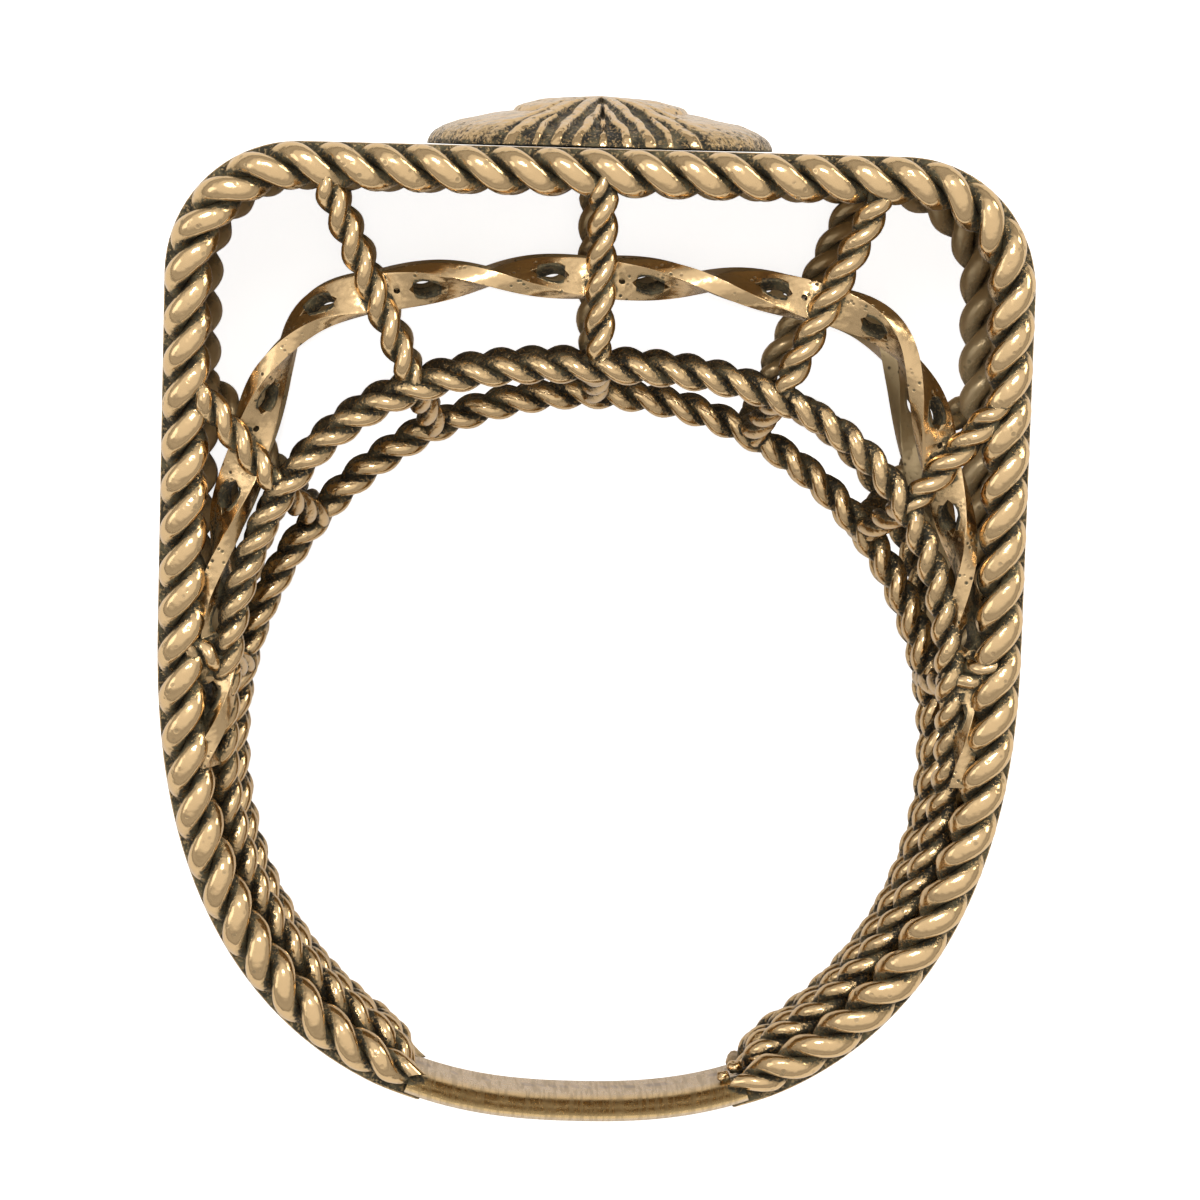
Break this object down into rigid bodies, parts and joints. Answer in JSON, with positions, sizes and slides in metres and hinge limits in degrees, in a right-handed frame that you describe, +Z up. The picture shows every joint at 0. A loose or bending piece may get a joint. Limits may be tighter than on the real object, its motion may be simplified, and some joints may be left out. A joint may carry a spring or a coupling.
{
  "type": "openwork ring",
  "caption": "Square-topped openwork finger ring of soldered twisted wire, with rope-edged open faces, twisted pierced ribbons, a plain shank and a round fan-ribbed medallion on the flat top.",
  "frame": {"origin": "centre of the bounding box's underside: the ring lies on one of its two open faces", "axes": "+Z up, about 10 degrees from the finger's axis; +Y from the shank towards the medallion; +X across the finger, to the right in the picture"},
  "size_m": [0.0214, 0.0259, 0.0138],
  "materials": {
    "cage": "antiqued gold-tone brass, polished on the raised strands and dark olive-brown in the grooves",
    "medallion": "antiqued cast brass, polished ridges over dark grainy recesses"
  },
  "bodies": {
    "root": {"cage": "cage", "medallion": "medallion"}
  },
  "joints": []
}
